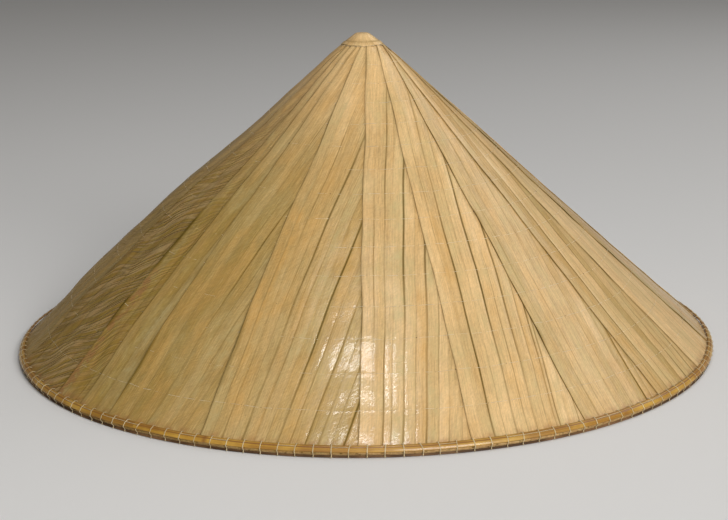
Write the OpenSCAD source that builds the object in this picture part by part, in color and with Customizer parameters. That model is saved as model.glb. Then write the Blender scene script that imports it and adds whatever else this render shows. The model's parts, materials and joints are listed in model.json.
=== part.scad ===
// Conical palm-leaf hat: bamboo hoops, an inner and an outer layer of ironed palm leaves,
// a thread-bound rim, a folded leaf cap on the tip and a ribbon chin strap.
// Origin: centre of the brim's rest plane. +Z is up, -Y is the front.

/* [Hat] */
// Diameter of the leaf cone where it would meet the rest plane, 3 mm over the finished brim
brim_d = 414; // [380:2:440]
// Height of the tip above the rest plane
hat_h = 181; // [166:5:196]
// Radius of the leaf cone, carried up to the height of the tip
tip_r = 5.4; // [5:0.2:6.4]

/* [Leaves] */
// Thickness of one ironed palm leaf
leaf_t = 0.35; // [0.25:0.05:0.4]
// Air gap between two layers
gap = 0.15; // [0.12:0.01:0.18]
// How far a leaf's tail reaches under the next leaf, in degrees of turn
tail_deg = 2.2; // [1.6:0.2:2.8]

/* [Hoops] */
// Width of a split bamboo hoop, along the slope
hoop_w = 2.6; // [2:0.1:3]
// Thickness of a hoop, square to the slope
hoop_t = 1.8; // [1.4:0.1:1.9]

/* [Rim] */
// Width of the outer rim strip, along the slope
strip_w = 3.6; // [3:0.2:5]
// Thickness of the outer rim strip
strip_t = 1.2; // [1:0.1:2]
// Thickness of the inner rim hoop, square to the slope
rim_t = 3.2; // [2.6:0.2:3.6]
// Height of the inner rim hoop, along the slope
rim_w = 8; // [7:0.5:9]
// How far the inner rim hoop reaches below the outer strip, along the slope
rim_drop = 2; // [1:0.25:3]
// Number of thread wraps round the rim
wrap_count = 148; // [120:4:160]

/* [Chin strap] */
// Width of the ribbon
strap_w = 10; // [8:1:10]
// Thickness of the ribbon
strap_t = 0.8; // [0.6:0.1:1]
// Radius of the thread loop that holds an end of the ribbon
loop_r = 7; // [6.5:0.25:7.25]
// Radius of the loop's cord
cord_r = 0.6; // [0.5:0.05:0.7]

/* [Hidden] */
$fn = 64;

// Widths of the outer leaves in degrees of turn, from the first one left of the front.
// The leaves near the front are of uneven width, and the rest are close to the mean.
LEAF_WIDTHS = [
    6.7, 7.0, 16.8, 22.8, 15.8, 17.9, 16.5, 15.5, 14.5, 15.5, 14, 16, 15, 13.5, 15.5,
    14.5, 14, 15.5, 14.5, 15.5, 14.5, 15.5, 14.5, 18.5
];
FIRST_LEAF_AZIMUTH = -54.5;
OUTER_COUNT = len(LEAF_WIDTHS);
INNER_COUNT = 14;
HOOP_COUNT = 15;
// Flats that a hoop's back and the rim strip's crown are pared into
HOOP_FACES = 8;
CROWN_FACES = 8;

function numbered(base, i) = str(base, "_", i < 10 ? "0" : "", i);

// Layers, as heights square to the slope. Height 0 is the outer face of the hoops.
inner_low = gap;
inner_high = inner_low + leaf_t + gap;
outer_low = inner_high + leaf_t + gap;
outer_high = outer_low + leaf_t + gap;
leaf_top = outer_high + leaf_t;
strip_n = leaf_top + gap;

// The cone: its half angle, and the height of the sharp apex of the hoops' outer face
half_angle = atan((brim_d / 2 - tip_r) / hat_h);
rest_r = brim_d / 2;
apex_z = hat_h + tip_r / tan(half_angle) - leaf_top / sin(half_angle);
slope = 90 - half_angle;

// Distances down the slope, measured from the sharp apex
rest_s = apex_z / cos(half_angle);
strip_end_s = rest_s - rim_drop;
leaf_start_s = 12;
leaf_end_s = strip_end_s + 0.3;
full_s = rest_r / sin(half_angle);

// The cap: its hem is held by the first row of stitches. The tip is flat for tip_flat_r and
// then rounds off to shoulder_r over tip_drop.
cap_end_s = hoop_s(1) + 0.8;
cap_t = 0.3;
tip_flat_r = 3.5;
tip_drop = 1.6;
shoulder_r = tip_r + 1.7;

// Laps: turn of the clearance beside a tail, and of the step that carries a leaf over it
lap_gap_deg = 0.6;
step_deg = 0.8;
web_inset = 0.5;

// Running thread on each row of stitches
thread_w = 0.4;
thread_t = 0.25;

// Thread wraps of the rim, and the notches that they lie in
wrap_w = 0.8;
wrap_t = 0.35;
notch_w = wrap_w + 4 * gap;
notch_h = wrap_t + gap;

// Colours
LEAF = "#CDB07A";
LEAF_INSIDE = "#C8AC74";
BAMBOO = "#C79A4E";
BAMBOO_DARK = "#6E4226";
THREAD = "#E9DFC6";
RIBBON = "#7A2E3A";

// A point on the cone: s down the slope from the sharp apex, n out from the hoops' face
function on_cone(s, n) = [
    s * sin(half_angle) + n * cos(half_angle),
    apex_z - s * cos(half_angle) + n * sin(half_angle)
];
// How far down the slope hoop k lies: the rows open up from the tip to the brim
function hoop_s(k) = full_s * (0.0083 + 0.0453 * k + 0.00093 * k * k);
// Sum of the first i leaf widths
function turn_before(i) = i == 0 ? 0 : LEAF_WIDTHS[i - 1] + turn_before(i - 1);
// Where outer leaf i starts; azimuth 0 is the front and grows counterclockwise from above
function leaf_azimuth(i) = FIRST_LEAF_AZIMUTH + turn_before(i - 1);
function reversed(list) = [for (i = [len(list) - 1:-1:0]) list[i]];

// The point at height z on the layer line that is n out from the hoops' face
function at_height(n, z) = [(apex_z - z) * tan(half_angle) + n / cos(half_angle), z];

// Part of a cone layer between two azimuths
module cone_sector(s_from, s_to, n_from, n_to, from_deg, to_deg) {
    rotate([0, 0, from_deg - 90])
        rotate_extrude(angle = to_deg - from_deg)
            polygon([
                on_cone(s_from, n_from), on_cone(s_to, n_from),
                on_cone(s_to, n_to), on_cone(s_from, n_to)
            ]);
}

// One leaf: a low main sheet whose tail slips under the next leaf, a raised left edge that
// lies on the tail of the leaf before it, and a web inside both that joins them
module leaf(from_deg, width_deg, low, high) {
    main_from = from_deg + tail_deg + lap_gap_deg;
    cone_sector(leaf_start_s, leaf_end_s, low, low + leaf_t,
                main_from, from_deg + width_deg + tail_deg);
    cone_sector(leaf_start_s, leaf_end_s, high, high + leaf_t, from_deg, main_from + step_deg);
    cone_sector(leaf_start_s + web_inset, leaf_end_s - web_inset,
                low + leaf_t / 2, high + leaf_t / 2,
                main_from + step_deg / 4, main_from + step_deg * 3 / 4);
}

module outer_leaf(i) {
    color(LEAF)
        leaf(leaf_azimuth(i), LEAF_WIDTHS[i - 1], outer_low, outer_high);
}

// The first inner leaf is centred on the right-hand loop, and the eighth on the left-hand one
module inner_leaf(i) {
    width = 360 / INNER_COUNT;
    color(LEAF_INSIDE)
        leaf(90 + (i - 1.5) * width, width, inner_low, inner_high);
}

// A half-round split bamboo ring, flat side out against the leaves and pared on its back
module hoop(i) {
    radius = hoop_w / 2;
    centre_n = radius - hoop_t;
    flat_deg = asin(-centre_n / radius);
    turn = (180 + 2 * flat_deg) / HOOP_FACES;
    color(BAMBOO)
        rotate_extrude()
            polygon([
                for (k = [0:HOOP_FACES])
                    let (a = flat_deg - k * turn)
                        on_cone(hoop_s(i) + radius * cos(a), centre_n + radius * sin(a))
            ]);
}

// A small folded leaf cone over the tips of the leaves, solid at the blunt tip
module apex_cap() {
    roof_z = on_cone(leaf_start_s, strip_n)[1] + gap;
    roof_r = (apex_z + strip_n / sin(half_angle) - roof_z) * tan(half_angle);
    cap_top = strip_n + cap_t;
    color(LEAF)
        rotate_extrude()
            polygon([
                [0, hat_h], [tip_flat_r, hat_h], [shoulder_r, hat_h - tip_drop],
                on_cone(leaf_start_s - 0.3, cap_top), on_cone(cap_end_s, cap_top),
                on_cone(cap_end_s, strip_n), [roof_r, roof_z], [0, roof_z]
            ]);
}

// One running thread per hoop; the first one lies on the cap
module row_stitches() {
    color(THREAD)
        for (k = [1:HOOP_COUNT]) {
            bottom = strip_n + (hoop_s(k) < cap_end_s ? cap_t + gap : 0);
            cone_sector(hoop_s(k) - thread_w / 2, hoop_s(k) + thread_w / 2,
                        bottom, bottom + thread_t, 0, 360);
        }
}

// A split bamboo strip round the outside of the brim, crowned on its outer face
module rim_outer_strip() {
    middle_s = strip_end_s - strip_w / 2;
    color(BAMBOO)
        rotate_extrude()
            polygon(concat(
                [on_cone(strip_end_s - strip_w, strip_n), on_cone(strip_end_s, strip_n)],
                [
                    for (k = [0:CROWN_FACES])
                        let (x = 1 - 2 * k / CROWN_FACES)
                            on_cone(middle_s + x * strip_w / 2,
                                    strip_n + strip_t * (1 - x * x / 2))
                ]
            ));
}

// Where the inner rim hoop's faces meet the rest plane
rim_outer_r = at_height(0, 0)[0];
rim_inner_r = at_height(-rim_t, 0)[0];

// The largest hoop. Its flat underside is what the hat stands on, with a notch for each wrap.
module rim_inner_hoop() {
    color(BAMBOO_DARK)
        difference() {
            rotate_extrude()
                polygon([
                    on_cone(rest_s - rim_w, 0), at_height(0, 0), at_height(-rim_t, 0),
                    on_cone(rest_s - rim_w, -rim_t)
                ]);
            for (i = [0:wrap_count - 1])
                rotate([0, 0, i * 360 / wrap_count])
                    translate([rim_inner_r - 2, -notch_w / 2, -1])
                        cube([rim_outer_r - rim_inner_r + 4, notch_w, 1 + notch_h]);
        }
}

// Thread wraps: each is a U round the outer strip, the leaf ends and the inner hoop
module rim_stitches() {
    outer_n = strip_n + strip_t + gap;
    inner_n = -rim_t - gap;
    top_s = strip_end_s - strip_w;
    edge_s = leaf_end_s + gap;
    inside = [
        on_cone(top_s, outer_n), on_cone(edge_s, outer_n), on_cone(edge_s, gap),
        at_height(gap, wrap_t), at_height(inner_n, wrap_t), on_cone(top_s, inner_n)
    ];
    outside = [
        on_cone(top_s, outer_n + wrap_t), on_cone(edge_s + wrap_t, outer_n + wrap_t),
        on_cone(edge_s + wrap_t, gap + wrap_t), at_height(gap + wrap_t, 0),
        at_height(inner_n - wrap_t, 0), on_cone(top_s, inner_n - wrap_t)
    ];
    color(THREAD)
        for (i = [0:wrap_count - 1])
            rotate([90, 0, i * 360 / wrap_count])
                linear_extrude(wrap_w, center = true)
                    polygon(concat(inside, reversed(outside)));
}

// The loops are sewn between the third and fourth hoops up from the brim, counting the rim
loop_s = (hoop_s(13) + hoop_s(14)) / 2;
loop_centre = on_cone(loop_s, inner_low + leaf_t / 2);
strap_x = loop_centre[0];
strap_z = loop_centre[1] - loop_r;

module strap_loops() {
    color(THREAD)
        for (side = [0, 1])
            mirror([side, 0, 0])
                translate([loop_centre[0], 0, loop_centre[1]])
                    rotate([90, 0, 0])
                        rotate([0, 0, 180 - slope])
                            rotate_extrude(angle = 180)
                                translate([loop_r, 0])
                                    circle(cord_r);
}

// Ribbon, tucked back inside the brim: a half ring with an eye on each loop
eye_r = 3.2;
eye_hole_r = 1.6;
eye_t = 1.6;
neck_h = 4;
neck_from_y = eye_hole_r + 0.8;
neck_to_y = 9;
ribbon_from_y = 7;

module chin_strap() {
    ribbon_from_deg = asin(ribbon_from_y / strap_x);
    color(RIBBON)
        translate([0, 0, strap_z]) {
            rotate([0, 0, ribbon_from_deg])
                rotate_extrude(angle = 180 - 2 * ribbon_from_deg)
                    translate([strap_x - strap_t / 2, -strap_w / 2])
                        square([strap_t, strap_w]);
            for (side = [-1, 1])
                translate([side * strap_x, 0, 0]) {
                    difference() {
                        rotate([0, 90, 0])
                            cylinder(r = eye_r, h = eye_t, center = true);
                        rotate([0, 90, 0])
                            cylinder(r = eye_hole_r, h = eye_t + 1, center = true);
                    }
                    translate([-strap_t / 2, neck_from_y, -neck_h / 2])
                        cube([strap_t, neck_to_y - neck_from_y, neck_h]);
                }
        }
}

for (i = [1:OUTER_COUNT])
    outer_leaf(i);
for (i = [1:INNER_COUNT])
    inner_leaf(i);
for (i = [1:HOOP_COUNT])
    hoop(i);
apex_cap();
row_stitches();
rim_outer_strip();
rim_inner_hoop();
rim_stitches();
strap_loops();
chin_strap();
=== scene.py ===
"""Looks of the conical palm-leaf hat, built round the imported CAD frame.

Lengths are millimetres and angles are radians unless a name says otherwise; MM turns
millimetres into Blender's metres. A place on the hat is given by s, how far it lies down
the slope from the sharp apex of the hoops' cone, by its azimuth, which is 0 at the front
and grows counterclockwise from above, and by n, its height square to the slope.
"""

import json
import math

import bpy
import numpy as np
from mathutils import Euler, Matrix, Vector
from mathutils.bvhtree import BVHTree

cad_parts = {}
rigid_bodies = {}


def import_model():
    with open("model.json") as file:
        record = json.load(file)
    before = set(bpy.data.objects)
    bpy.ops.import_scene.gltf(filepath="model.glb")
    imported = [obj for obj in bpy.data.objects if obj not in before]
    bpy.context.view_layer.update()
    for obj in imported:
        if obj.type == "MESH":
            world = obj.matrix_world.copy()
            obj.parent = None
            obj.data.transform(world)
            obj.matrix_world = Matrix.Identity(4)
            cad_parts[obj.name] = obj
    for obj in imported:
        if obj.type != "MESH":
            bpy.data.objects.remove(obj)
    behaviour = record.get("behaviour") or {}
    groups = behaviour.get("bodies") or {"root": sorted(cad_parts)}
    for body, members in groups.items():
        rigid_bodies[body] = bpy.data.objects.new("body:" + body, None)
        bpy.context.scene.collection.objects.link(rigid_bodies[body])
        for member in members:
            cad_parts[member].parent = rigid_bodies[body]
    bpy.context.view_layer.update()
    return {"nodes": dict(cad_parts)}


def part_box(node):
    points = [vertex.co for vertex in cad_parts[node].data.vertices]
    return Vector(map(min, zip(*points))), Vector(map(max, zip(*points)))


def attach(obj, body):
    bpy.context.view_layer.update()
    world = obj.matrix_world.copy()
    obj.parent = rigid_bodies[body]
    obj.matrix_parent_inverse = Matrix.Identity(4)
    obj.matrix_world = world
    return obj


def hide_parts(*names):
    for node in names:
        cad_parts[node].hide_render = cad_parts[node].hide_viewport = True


for stray in list(bpy.data.objects):
    bpy.data.objects.remove(stray)

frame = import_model()

MM = 0.001
HAT = "hat"
STRAP = "chin_strap"

# ---- the cone, from the frame

OUTER_NODES = sorted(name for name in frame["nodes"] if name.startswith("outer_leaf"))
INNER_NODES = sorted(name for name in frame["nodes"] if name.startswith("inner_leaf"))
HOOP_NODES = sorted(name for name in frame["nodes"] if name.startswith("hoop_"))
TOP_HOOP, BOTTOM_HOOP = HOOP_NODES[0], HOOP_NODES[-1]


def low(node):
    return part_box(node)[0] / MM


def high(node):
    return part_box(node)[1] / MM


TURN = 2 * math.pi
HALF_ANGLE = math.atan2(
    high(BOTTOM_HOOP).x - high(TOP_HOOP).x, low(TOP_HOOP).z - low(BOTTOM_HOOP).z
)
SIN = math.sin(HALF_ANGLE)
COS = math.cos(HALF_ANGLE)
RIM_R = high("rim_inner_hoop").x
APEX_Z = RIM_R / math.tan(HALF_ANGLE)
HOOP_FACE = 2.4
HOOP_T = 1.8
HOOP_S = np.array([high(node).x / SIN - HOOP_FACE / 2 for node in HOOP_NODES])

LEAF_T = 0.35
GAP = 0.15
LAYER = LEAF_T + GAP
INNER_TOP = GAP + LEAF_T
OUTER_TOP = INNER_TOP + 3 * LAYER
REST_S = APEX_Z / COS
RIM_W = 8.0
RIM_T = 3.2
RIM_IN_R = RIM_R - RIM_T / COS
STRIP_N = OUTER_TOP + GAP
STRIP_T = 1.2
STRIP_W = 3.6
STRIP_END_S = REST_S - 2.0
STRIP_TOP_S = STRIP_END_S - STRIP_W
WRAP_T = 0.35
WRAP_COUNT = 148
WRAP_STEP = TURN * RIM_R / WRAP_COUNT
LEAF_START_S = 12.0
LEAF_END_S = STRIP_END_S + 0.3
CAP_END_S = HOOP_S[0] + 0.8
CAP_N = 2.36
SUPPORTS = np.concatenate([[LEAF_START_S - 2], HOOP_S, [STRIP_TOP_S + 1]])


def smooth(x):
    x = np.clip(x, 0, 1)
    return x * x * (3 - 2 * x)


def peak(x, width, power=2):
    """1 at x = 0, falling to nearly nothing past the width on both sides."""
    return np.exp(-((x / width) ** power))


def belly(s, azimuth):
    """How far the hand-made hat swells out past a true cone; near the tip it is slimmer."""
    fullness = smooth((s - 80) / 70) * smooth((266 - s) / 60)
    return fullness * (1.3 - 1.9 * np.sin(azimuth)) - 0.55 * smooth((26 - s) / 14)


def cone(s, azimuth, n):
    """Points, in metres, at those places on the cone."""
    n = n + belly(s, azimuth)
    r = s * SIN + n * COS
    z = APEX_Z - s * COS + n * SIN
    return np.stack(np.broadcast_arrays(r * np.sin(azimuth), -r * np.cos(azimuth), z), -1) * MM


def to_cone(r, z):
    """The (s, n) of a point at that radius and height."""
    return r * SIN + (APEX_Z - z) * COS, r * COS - (APEX_Z - z) * SIN


def waves(x, y, wavelength, seed, count=7):
    """A smooth random field of about unit height, the same on every run."""
    rng = np.random.default_rng(seed)
    total = 0
    for _ in range(count):
        heading, stretch, phase = rng.uniform((0, 0.7, 0), (TURN, 1.5, 6.3))
        k = TURN / (wavelength * stretch)
        total = total + np.sin(k * (x * math.cos(heading) + y * math.sin(heading)) + phase)
    return total / math.sqrt(count)


# ---- meshes

# Numbers at each point: millimetres across and along the grain, the seed of its noise, and how
# far it is a dark crease (on the leaves partly painted shade in grooves, at gaps and along the
# next leaf's edge), stained, pale (or olive, below 0; on the left-hand leaves partly painted
# shade), warm (or cool) and crinkled
MARKS = ("across", "along", "seed", "crease", "stain", "tone", "warm", "crinkle")


def new_object(name, data):
    """A new object in the scene."""
    thing = bpy.data.objects.new(name, data)
    bpy.context.scene.collection.objects.link(thing)
    return thing


class Piece:
    """Collects points and faces, with the numbers that the shaders read at each point."""

    def __init__(self):
        self.points, self.faces = [], []
        self.marks = {name: [] for name in MARKS}
        self.count = 0

    def add(self, points, faces, **marks):
        points = np.asarray(points, float).reshape(-1, 3)
        if signed_volume(points, faces) < 0:
            faces = [face[::-1] for face in faces]
        self.points.append(points)
        self.faces += [tuple(i + self.count for i in face) for face in faces]
        for name in MARKS:
            values = np.broadcast_to(np.ravel(marks.get(name, 0.0)), len(points))
            self.marks[name].append(values)
        self.count += len(points)

    def finish(self, name, body, slot, material, replaces=(), sharp_deg=35):
        mesh = bpy.data.meshes.new(name)
        mesh.from_pydata(np.concatenate(self.points).tolist(), [], self.faces)
        for mark in MARKS:
            layer = mesh.attributes.new(mark, "FLOAT", "POINT")
            layer.data.foreach_set("value", np.concatenate(self.marks[mark]).astype(np.float32))
        mesh.polygons.foreach_set("use_smooth", [True] * len(mesh.polygons))
        mesh.set_sharp_from_angle(angle=math.radians(sharp_deg))
        mesh.materials.append(material)
        mesh.update()
        piece = new_object(name, mesh)
        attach(piece, body)
        if replaces:
            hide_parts(*replaces)
        return piece


def signed_volume(points, faces):
    """Above zero if the faces of a closed solid all look outwards."""
    points = points - points.mean(0)
    total = 0.0
    for size in {len(face) for face in faces}:
        corners = points[np.array([face for face in faces if len(face) == size])]
        for k in range(1, size - 1):
            total += np.sum(corners[:, 0] * np.cross(corners[:, k], corners[:, k + 1]))
    return total


def shell_faces(faces, count):
    """Faces of a closed sheet: the top ones, the same below turned over, and the walls."""
    edges = set()
    for face in faces:
        edges.update(zip(face, face[1:] + face[:1]))
    walls = [(b, a, a + count, b + count) for a, b in edges if (b, a) not in edges]
    return faces + [tuple(i + count for i in reversed(face)) for face in faces] + sorted(walls)


def grid_faces(rows, columns, wrap_rows=False, wrap_columns=False):
    """Quads of a grid whose points run along the columns first."""
    faces = []
    for i in range(rows if wrap_rows else rows - 1):
        below = (i + 1) % rows
        for j in range(columns if wrap_columns else columns - 1):
            right = (j + 1) % columns
            a, b = i * columns, below * columns
            faces.append((a + j, b + j, b + right, a + right))
    return faces


def swept(piece, rings, closed=False, along=0.0, across=0.0, **marks):
    """A solid through rings of points (count, around, 3): open ones get flat ends."""
    count, around = rings.shape[:2]
    faces = grid_faces(count, around, wrap_rows=closed, wrap_columns=True)
    if not closed:
        last = (count - 1) * around
        faces.append(tuple(range(around)))
        faces.append(tuple(last + i for i in reversed(range(around))))
    along = np.broadcast_to(np.reshape(along, (-1, 1)), (count, around))
    across = np.broadcast_to(across, (count, around))
    piece.add(rings, faces, along=along, across=across, **marks)


def tube(piece, path, radius, sides=6, closed=False, flat=1.0, **marks):
    """A round thread, in metres, along a path; flat below 1 thins it in its second direction."""
    path = np.asarray(path, float)
    ahead = np.roll(path, -1, 0) - np.roll(path, 1, 0)
    if not closed:
        ahead[0], ahead[-1] = path[1] - path[0], path[-1] - path[-2]
    ahead /= np.linalg.norm(ahead, axis=1, keepdims=True) + 1e-12
    centre = path.mean(0)
    side = np.cross(ahead, path - centre + np.array([0, 0, 1e-5]))
    side /= np.linalg.norm(side, axis=1, keepdims=True) + 1e-12
    for i in range(1, len(side)):
        if side[i] @ side[i - 1] < 0:
            side[i] = -side[i]
    up = np.cross(side, ahead)
    angle = np.arange(sides) * TURN / sides
    radius = np.broadcast_to(radius, len(path))[:, None, None]
    ring = side[:, None] * np.cos(angle)[:, None] + up[:, None] * np.sin(angle)[:, None] * flat
    steps = np.linalg.norm(np.diff(path, axis=0), axis=1) / MM
    along = np.concatenate([[0], np.cumsum(steps)])
    swept(piece, path[:, None] + ring * radius, closed, along, angle, **marks)


# ---- leaves

ROW_STEP = 2.5
NEAR_HOOP = np.array([-1.4, -0.6, 0.6, 1.4])
LIFTED = 4.0 / 2.2


def left_azimuth(node):
    """Azimuth of a leaf node's left edge."""
    mesh = frame["nodes"][node].data
    points = np.empty(len(mesh.vertices) * 3)
    mesh.vertices.foreach_get("co", points)
    points = points.reshape(-1, 3)
    azimuth = np.arctan2(points[:, 0], -points[:, 1])
    middle = math.atan2(points[:, 0].mean(), -points[:, 1].mean())
    return middle + ((azimuth - middle + math.pi) % TURN - math.pi).min()


def left_edges(nodes):
    """Left edges of all the leaves of a layer, growing, with the first one again after a turn."""
    edges = [left_azimuth(node) for node in nodes]
    for i in range(1, len(edges)):
        while edges[i] < edges[i - 1]:
            edges[i] += TURN
    return edges + [edges[0] + TURN]


def sag(s, azimuth):
    """How far the leaves sink between two rows of stitches, and dip under a thread."""
    k = np.clip(np.searchsorted(SUPPORTS, s) - 1, 0, len(SUPPORTS) - 2)
    span = SUPPORTS[k + 1] - SUPPORTS[k]
    part = np.clip((s - SUPPORTS[k]) / span, 0, 1)
    depth = span * (0.0045 + 0.003 * waves(azimuth * 110, k * 37.0, 60, 11))
    hollow = np.sin(math.pi * part ** 0.9) ** 2 * np.clip(depth, 0.03, 0.5)
    thread = peak(s - SUPPORTS[np.abs(s[..., None] - SUPPORTS).argmin(-1)], 0.7)
    return -hollow - 0.04 * thread


class Leaf:
    """One ironed leaf. Its left edge and its pleats are straight lines that pass right of the apex.

    t is the distance of a place from the left edge, square to that edge.
    """

    def __init__(self, azimuth, lean, number, pleats, **looks):
        self.lean = lean
        self.heading = azimuth * SIN - math.asin(lean / LEAF_END_S)
        self.number = number
        self.pleats = pleats
        self.looks = looks
        self.rng = np.random.default_rng(1000 + number)

    def angle(self, s, t):
        """Angle in the flat pattern of the cone; divided by SIN it is the azimuth."""
        wobble = 0.35 * np.sin(s / 23 + self.number) + 0.2 * np.sin(s / 9.1 + 2.3 * self.number)
        wobble = wobble * smooth((s - 30) / 60)
        return self.heading + np.arcsin(np.clip((self.lean + t + wobble) / s, -1, 1))

    def reach(self, s, angle):
        """How far that angle lies from the left edge."""
        return s * np.sin(np.clip(angle - self.heading, -1.5, 1.5)) - self.lean


def pleat_lines(number, width, fixed=(), spacing=5.6, strong_every=3):
    """Distances of a leaf's pleats from its left edge, with a strength from 0 to 1 each."""
    rng = np.random.default_rng(7000 + number)
    lines = list(fixed)
    t = (max(at for at, _ in lines) if lines else 0) + spacing
    while t < width + 8:
        strong = len(lines) % strong_every == strong_every - 1
        lines.append((t + rng.normal(0, 0.5), rng.uniform(0.6, 1) if strong else rng.uniform(0.1, 0.4)))
        t += spacing * rng.uniform(0.85, 1.15)
    return lines


def pleat_columns(lines, width):
    """Where a leaf's grid has its columns: fine at the left edge and across each pleat."""
    columns = {0.0, 0.4, 0.9, 1.8, 3.2}
    stops = [3.2] + [at for at, _ in lines] + [width + 12]
    for at, strength in lines:
        half = 0.42 + 0.45 * strength
        columns.update((at - half, at, at + half))
    for a, b in zip(stops, stops[1:]):
        count = max(1, round((b - a) / 2.2))
        columns.update(a + (b - a) * i / count for i in range(1, count))
    kept = []
    for t in sorted(columns):
        if t == 0 or t - kept[-1] > 0.3:
            kept.append(t)
    return np.array(kept)


def strip_faces(above, count_above, below, count_below):
    """Quads between two rows of points, and triangles where one row is longer."""
    shared = min(count_above, count_below)
    faces = [(above + j, below + j, below + j + 1, above + j + 1) for j in range(shared - 1)]
    last = above + count_above - 1
    faces += [(last, below + j, below + j + 1) for j in range(count_above - 1, count_below - 1)]
    last = below + count_below - 1
    faces += [(above + j, last, above + j + 1) for j in range(count_below - 1, count_above - 1)]
    return faces


def leaf_grid(leaf, following, columns, rows, overlap):
    """Spots (s, t, visible width) of a leaf's grid as far as its tail's edge, and its faces."""
    spots, faces, before = [], [], None
    for s in rows:
        visible = float(leaf.reach(s, following.angle(s, 0)))
        right = visible + min(overlap, 0.35 * max(visible, 1))
        row = columns[columns < right - 0.4]
        start, count = len(spots), len(row) + 1
        spots += [(s, t, visible) for t in row] + [(s, right, visible)]
        if before is not None:
            faces += strip_faces(*before, start, count)
        before = start, count
    return np.array(spots).T, faces


def pleated(leaf, s, t):
    """Depth of a leaf's pleats at each spot, and how dark the line in each one is: painted shade in the
    groove, together with the fold's own darker fibre.
    """
    fold = leaf.looks.get("fold", 1.0)
    groove, crease = np.zeros_like(t), np.zeros_like(t)
    for at, strength in leaf.pleats:
        half = 0.42 + 0.45 * strength
        profile = np.clip(1 - np.abs(t - at) / half, 0, 1)
        fade = 0.62 + 0.38 * np.sin(s / 31 + at * 1.7 + leaf.number)
        fade = fade * (0.35 + 0.65 * smooth((s - 25 - at) / 60)) + 0.25 * strength
        fade = np.clip(fade, 0, 1.1) * fold
        groove += profile * (0.02 + 0.10 * strength) * fade
        # Painted shade: a dark line at the bottom of each groove, partly the fold's own darker fibre
        crease = np.maximum(crease, (np.abs(t - at) < 1e-6) * (0.25 + 0.75 * strength) * fade)
    return groove, crease


def gaps(leaf, s):
    """How far a leaf's left edge stands off its neighbour at the places where it gapes."""
    height = np.zeros_like(s)
    for middle, length, size in leaf.looks.get("gapes", ()):
        height = height + size * peak(s - middle, length / 2, 4)
    return height


def leaf_sheet(leaf, following, top, follow, rows, overlap):
    """Points of a leaf's upper and lower faces, its faces, and the marks at its points."""
    looks = leaf.looks
    widest = float(leaf.reach(LEAF_END_S, following.angle(LEAF_END_S, 0))) + overlap
    columns = pleat_columns(leaf.pleats, widest)
    (s, t, visible), faces = leaf_grid(leaf, following, columns, rows, overlap)
    azimuth = leaf.angle(s, t) / SIN

    # From the leaf's own layer at its left part down to the one below under the next leaf
    lap_end = np.minimum(overlap, 0.35 * np.maximum(visible, 1))
    level = smooth((t - lap_end) / np.minimum(4, 0.6 * lap_end + 0.5))
    shown = smooth((visible - t + 0.6) / 1.2)
    freedom = 0.25 + 0.75 * shown
    near_rim = smooth((s - STRIP_TOP_S + 2) / 4)
    fine = freedom * (1 - 0.7 * near_rim)
    lower_part = smooth((s - 60) / 90)

    pleats = np.sort([at for at, _ in leaf.pleats])
    panel = np.searchsorted(pleats, t)
    edges = np.concatenate([[0.0], pleats, [widest + 20]])
    across_panel = np.clip((t - edges[panel]) / (edges[panel + 1] - edges[panel]), 0, 1)
    groove, crease = pleated(leaf, s, t)

    pillow = 0.06 * np.sin(math.pi * across_panel) * (0.5 + 0.5 * np.cos(panel * 2.1 + leaf.number))
    swell = 0.06 * waves(t * 2.2, s, 34, 21 + leaf.number) + 0.014 * waves(t * 1.6, s * 0.8, 9, 22)
    lift = looks.get("lift", 0.06) * (0.7 + 0.5 * waves(s, 0 * s, 45, 300 + leaf.number))
    gaping = gaps(leaf, s)
    lift = np.clip(lift, 0.0, 0.35) + gaping
    lift = lift * peak(t, LIFTED) * (1 - near_rim)

    n = top - LAYER * level + sag(s, azimuth)
    relief = (pillow + swell * looks.get("ripple", 1.0)) * fine + lift
    upper = n + relief - groove * fine
    lower = n + relief - LEAF_T - groove * fine * follow
    upper = np.where(s > STRIP_TOP_S - 1.5, np.minimum(upper, OUTER_TOP + 0.1), upper)
    lower = np.minimum(lower, upper - 0.6 * LEAF_T)

    edge_dark = looks.get("edge", 0.6)
    worn = np.clip(0.75 + 0.4 * waves(s, 0 * s, 30, 600 + leaf.number), 0.1, 1.1)
    # Painted shade: a dark band where the next leaf's edge lies on this one
    painted_shade_beside = peak(visible - t, 0.9) * (t < visible + 1)
    crease = np.maximum(crease, 0.35 * edge_dark * painted_shade_beside)
    # The leaf's own brown margin along its left edge
    crease = np.maximum(crease, 0.9 * edge_dark * worn * peak(t, 0.4))
    # Painted shadow: a wider dark band along the left edge where it gapes
    shadow = peak(t, 0.8 + 1.4 * gaping)
    crease = np.maximum(crease, np.clip(1.3 * gaping, 0, 1) * shadow)
    # Tone: the leaf's own tone from LOOKS, which on the leaves left of the front holds painted shade of
    # that side, a random tone per panel, and paler towards the apex
    tones, tints = leaf.rng.normal(0, 1, (2, 200))
    tone = looks.get("tone", 0.0) + 0.3 * looks.get("fold", 1.0) * tones[panel] * fine
    stain = looks.get("stain", 0.0) + band(looks.get("stain_band"), s, t)
    marks = dict(
        across=t,
        along=s,
        seed=leaf.number,
        crease=crease,
        stain=stain + 0.8 * smooth((s - STRIP_TOP_S + 4.5) / 4),
        tone=tone * (0.3 + 0.7 * lower_part) + 0.9 * smooth((75 - s) / 45),
        warm=looks.get("warm", 0.0) + 0.2 * tints[panel] + band(looks.get("band"), s, t),
        crinkle=looks.get("crinkle", 0.08) * freedom * (0.15 + 0.85 * lower_part),
    )
    points = np.concatenate([cone(s, azimuth, upper), cone(s, azimuth, lower)])
    return points, shell_faces(faces, len(s)), {k: np.tile(v + 0 * s, 2) for k, v in marks.items()}


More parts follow.
